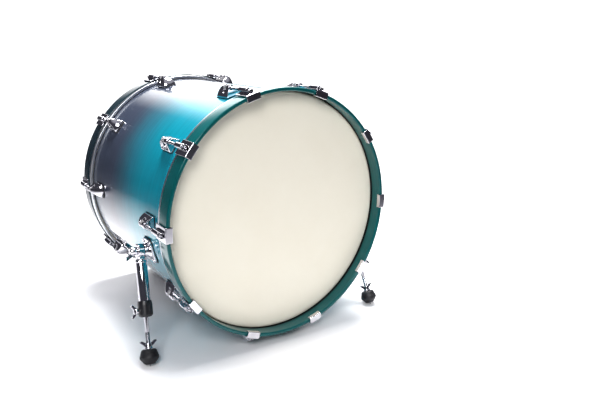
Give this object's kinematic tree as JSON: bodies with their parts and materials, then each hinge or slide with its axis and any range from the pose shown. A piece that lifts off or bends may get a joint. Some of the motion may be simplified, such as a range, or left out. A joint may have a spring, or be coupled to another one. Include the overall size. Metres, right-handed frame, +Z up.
{
  "type": "bass drum",
  "caption": "Free-standing bass drum with wooden hoops, two heads, claw-hook tension hardware and two folding spurs with adjustable feet.",
  "frame": {"origin": "on the floor plane, below the middle of the drum", "axes": "+Z up, front (the resonant head) toward -Y, +X to the right seen from the front; the drum's axis is raised 2.08 degrees at the front"},
  "size_m": [0.6774, 0.6034, 0.6005],
  "materials": {
    "shell_lacquer": "high gloss fade lacquer, teal at the front to near black at the rear",
    "hoop_lacquer": "high gloss teal lacquer",
    "rear_hoop_lacquer": "high gloss near-black teal lacquer",
    "head_film": "satin coated film, warm white",
    "flesh_hoop_alloy": "satin",
    "chrome": "polished",
    "rod_steel": "plated, threaded",
    "screw_steel": "zinc plated",
    "clamp_casting": "satin black",
    "gasket_rubber": "matt",
    "foot_rubber": "matt"
  },
  "bodies": {
    "drum": {"shell": "shell_lacquer", "vent_grommet": "chrome", "front_hoop": "hoop_lacquer", "rear_hoop": "rear_hoop_lacquer", "front_head": "head_film", "rear_head": "head_film", "front_flesh_hoop": "flesh_hoop_alloy", "rear_flesh_hoop": "flesh_hoop_alloy", "front_lugs": "chrome", "rear_lugs": "chrome", "lug_gaskets": "gasket_rubber", "lug_screws": "screw_steel", "swivel_nuts": "screw_steel", "front_claws": "chrome", "rear_claws": "chrome", "claw_pads": "gasket_rubber", "rod_washers": "screw_steel", "left_spur_bracket": "chrome", "left_spur_gasket": "gasket_rubber", "left_spur_screws": "screw_steel", "right_spur_bracket": "chrome", "right_spur_gasket": "gasket_rubber", "right_spur_screws": "screw_steel"},
    "left_leg": {"left_leg_tube": "chrome", "left_height_clamp": "clamp_casting"},
    "left_pivot_knob": {"left_pivot_knob": "chrome"},
    "left_clamp_screw": {"left_clamp_screw": "chrome"},
    "left_leg_rod": {"left_leg_rod": "rod_steel"},
    "left_foot": {"left_foot": "foot_rubber"},
    "left_lock_nut": {"left_lock_nut": "chrome"},
    "right_leg": {"right_leg_tube": "chrome", "right_height_clamp": "clamp_casting"},
    "right_pivot_knob": {"right_pivot_knob": "chrome"},
    "right_clamp_screw": {"right_clamp_screw": "chrome"},
    "right_leg_rod": {"right_leg_rod": "rod_steel"},
    "right_foot": {"right_foot": "foot_rubber"},
    "right_lock_nut": {"right_lock_nut": "chrome"},
    "front_tension_rod_01": {"front_tension_rod_01": "rod_steel"},
    "front_tension_rod_02": {"front_tension_rod_02": "rod_steel"},
    "front_tension_rod_03": {"front_tension_rod_03": "rod_steel"},
    "front_tension_rod_04": {"front_tension_rod_04": "rod_steel"},
    "front_tension_rod_05": {"front_tension_rod_05": "rod_steel"},
    "front_tension_rod_06": {"front_tension_rod_06": "rod_steel"},
    "front_tension_rod_07": {"front_tension_rod_07": "rod_steel"},
    "front_tension_rod_08": {"front_tension_rod_08": "rod_steel"},
    "front_tension_rod_09": {"front_tension_rod_09": "rod_steel"},
    "front_tension_rod_10": {"front_tension_rod_10": "rod_steel"},
    "rear_tension_rod_01": {"rear_tension_rod_01": "rod_steel"},
    "rear_tension_rod_02": {"rear_tension_rod_02": "rod_steel"},
    "rear_tension_rod_03": {"rear_tension_rod_03": "rod_steel"},
    "rear_tension_rod_04": {"rear_tension_rod_04": "rod_steel"},
    "rear_tension_rod_05": {"rear_tension_rod_05": "rod_steel"},
    "rear_tension_rod_06": {"rear_tension_rod_06": "rod_steel"},
    "rear_tension_rod_07": {"rear_tension_rod_07": "rod_steel"},
    "rear_tension_rod_08": {"rear_tension_rod_08": "rod_steel"},
    "rear_tension_rod_09": {"rear_tension_rod_09": "rod_steel"},
    "rear_tension_rod_10": {"rear_tension_rod_10": "rod_steel"}
  },
  "joints": [
    {"name": "left_leg_fold", "type": "hinge", "parent": "drum", "child": "left_leg", "pos_m": [-0.294, -0.14555, 0.23249], "axis": [0.9957, -0.0034, -0.0928], "range_deg": [0, 108]},
    {"name": "left_rod_slide", "type": "slide", "parent": "left_leg", "child": "left_leg_rod", "axis": [0.0867, 0.392, 0.9159], "range_m": [-0.06, 0.022]},
    {"name": "left_foot_slide", "type": "slide", "parent": "left_leg_rod", "child": "left_foot", "axis": [0.0867, 0.392, 0.9159], "range_m": [0, 0.018]},
    {"name": "left_lock_nut_turn", "type": "hinge", "parent": "left_foot", "child": "left_lock_nut", "pos_m": [-0.31219, -0.22781, 0.0403], "axis": [0.0867, 0.392, 0.9159], "continuous": true},
    {"name": "left_clamp_screw_turn", "type": "hinge", "parent": "left_leg", "child": "left_clamp_screw", "pos_m": [-0.32336, -0.19724, 0.11327], "axis": [-0.9957, 0.0034, 0.0928], "continuous": true},
    {"name": "left_pivot_knob_turn", "type": "hinge", "parent": "left_leg", "child": "left_pivot_knob", "pos_m": [-0.31192, -0.1455, 0.23416], "axis": [-0.9957, 0.0034, 0.0928], "continuous": true},
    {"name": "right_leg_fold", "type": "hinge", "parent": "drum", "child": "right_leg", "pos_m": [0.294, -0.14555, 0.23249], "axis": [0.9957, 0.0034, 0.0928], "range_deg": [0, 108]},
    {"name": "right_rod_slide", "type": "slide", "parent": "right_leg", "child": "right_leg_rod", "axis": [-0.0867, 0.392, 0.9159], "range_m": [-0.06, 0.022]},
    {"name": "right_foot_slide", "type": "slide", "parent": "right_leg_rod", "child": "right_foot", "axis": [-0.0867, 0.392, 0.9159], "range_m": [0, 0.018]},
    {"name": "right_lock_nut_turn", "type": "hinge", "parent": "right_foot", "child": "right_lock_nut", "pos_m": [0.31219, -0.22781, 0.0403], "axis": [-0.0867, 0.392, 0.9159], "continuous": true},
    {"name": "right_clamp_screw_turn", "type": "hinge", "parent": "right_leg", "child": "right_clamp_screw", "pos_m": [0.32336, -0.19724, 0.11327], "axis": [0.9957, 0.0034, 0.0928], "continuous": true},
    {"name": "right_pivot_knob_turn", "type": "hinge", "parent": "right_leg", "child": "right_pivot_knob", "pos_m": [0.31192, -0.1455, 0.23416], "axis": [0.9957, 0.0034, 0.0928], "continuous": true},
    {"name": "front_tension_rod_01_turn", "type": "hinge", "parent": "drum", "child": "front_tension_rod_01", "pos_m": [0.09224, -0.27731, 0.5944], "axis": [0, -0.9993, 0.0363], "continuous": true},
    {"name": "front_tension_rod_02_turn", "type": "hinge", "parent": "drum", "child": "front_tension_rod_02", "pos_m": [0.24149, -0.28124, 0.48604], "axis": [0, -0.9993, 0.0363], "continuous": true},
    {"name": "front_tension_rod_03_turn", "type": "hinge", "parent": "drum", "child": "front_tension_rod_03", "pos_m": [0.2985, -0.28761, 0.3107], "axis": [0, -0.9993, 0.0363], "continuous": true},
    {"name": "front_tension_rod_04_turn", "type": "hinge", "parent": "drum", "child": "front_tension_rod_04", "pos_m": [0.24149, -0.29398, 0.13536], "axis": [0, -0.9993, 0.0363], "continuous": true},
    {"name": "front_tension_rod_05_turn", "type": "hinge", "parent": "drum", "child": "front_tension_rod_05", "pos_m": [0.09224, -0.29791, 0.027], "axis": [0, -0.9993, 0.0363], "continuous": true},
    {"name": "front_tension_rod_06_turn", "type": "hinge", "parent": "drum", "child": "front_tension_rod_06", "pos_m": [-0.09224, -0.29791, 0.027], "axis": [0, -0.9993, 0.0363], "continuous": true},
    {"name": "front_tension_rod_07_turn", "type": "hinge", "parent": "drum", "child": "front_tension_rod_07", "pos_m": [-0.24149, -0.29398, 0.13536], "axis": [0, -0.9993, 0.0363], "continuous": true},
    {"name": "front_tension_rod_08_turn", "type": "hinge", "parent": "drum", "child": "front_tension_rod_08", "pos_m": [-0.2985, -0.28761, 0.3107], "axis": [0, -0.9993, 0.0363], "continuous": true},
    {"name": "front_tension_rod_09_turn", "type": "hinge", "parent": "drum", "child": "front_tension_rod_09", "pos_m": [-0.24149, -0.28124, 0.48604], "axis": [0, -0.9993, 0.0363], "continuous": true},
    {"name": "front_tension_rod_10_turn", "type": "hinge", "parent": "drum", "child": "front_tension_rod_10", "pos_m": [-0.09224, -0.27731, 0.5944], "axis": [0, -0.9993, 0.0363], "continuous": true},
    {"name": "rear_tension_rod_01_turn", "type": "hinge", "parent": "drum", "child": "rear_tension_rod_01", "pos_m": [0.09224, 0.29791, 0.57351], "axis": [0, 0.9993, -0.0363], "continuous": true},
    {"name": "rear_tension_rod_02_turn", "type": "hinge", "parent": "drum", "child": "rear_tension_rod_02", "pos_m": [0.24149, 0.29398, 0.46515], "axis": [0, 0.9993, -0.0363], "continuous": true},
    {"name": "rear_tension_rod_03_turn", "type": "hinge", "parent": "drum", "child": "rear_tension_rod_03", "pos_m": [0.2985, 0.28761, 0.28981], "axis": [0, 0.9993, -0.0363], "continuous": true},
    {"name": "rear_tension_rod_04_turn", "type": "hinge", "parent": "drum", "child": "rear_tension_rod_04", "pos_m": [0.24149, 0.28124, 0.11447], "axis": [0, 0.9993, -0.0363], "continuous": true},
    {"name": "rear_tension_rod_05_turn", "type": "hinge", "parent": "drum", "child": "rear_tension_rod_05", "pos_m": [0.09224, 0.27731, 0.00611], "axis": [0, 0.9993, -0.0363], "continuous": true},
    {"name": "rear_tension_rod_06_turn", "type": "hinge", "parent": "drum", "child": "rear_tension_rod_06", "pos_m": [-0.09224, 0.27731, 0.00611], "axis": [0, 0.9993, -0.0363], "continuous": true},
    {"name": "rear_tension_rod_07_turn", "type": "hinge", "parent": "drum", "child": "rear_tension_rod_07", "pos_m": [-0.24149, 0.28124, 0.11447], "axis": [0, 0.9993, -0.0363], "continuous": true},
    {"name": "rear_tension_rod_08_turn", "type": "hinge", "parent": "drum", "child": "rear_tension_rod_08", "pos_m": [-0.2985, 0.28761, 0.28981], "axis": [0, 0.9993, -0.0363], "continuous": true},
    {"name": "rear_tension_rod_09_turn", "type": "hinge", "parent": "drum", "child": "rear_tension_rod_09", "pos_m": [-0.24149, 0.29398, 0.46515], "axis": [0, 0.9993, -0.0363], "continuous": true},
    {"name": "rear_tension_rod_10_turn", "type": "hinge", "parent": "drum", "child": "rear_tension_rod_10", "pos_m": [-0.09224, 0.29791, 0.57351], "axis": [0, 0.9993, -0.0363], "continuous": true}
  ]
}
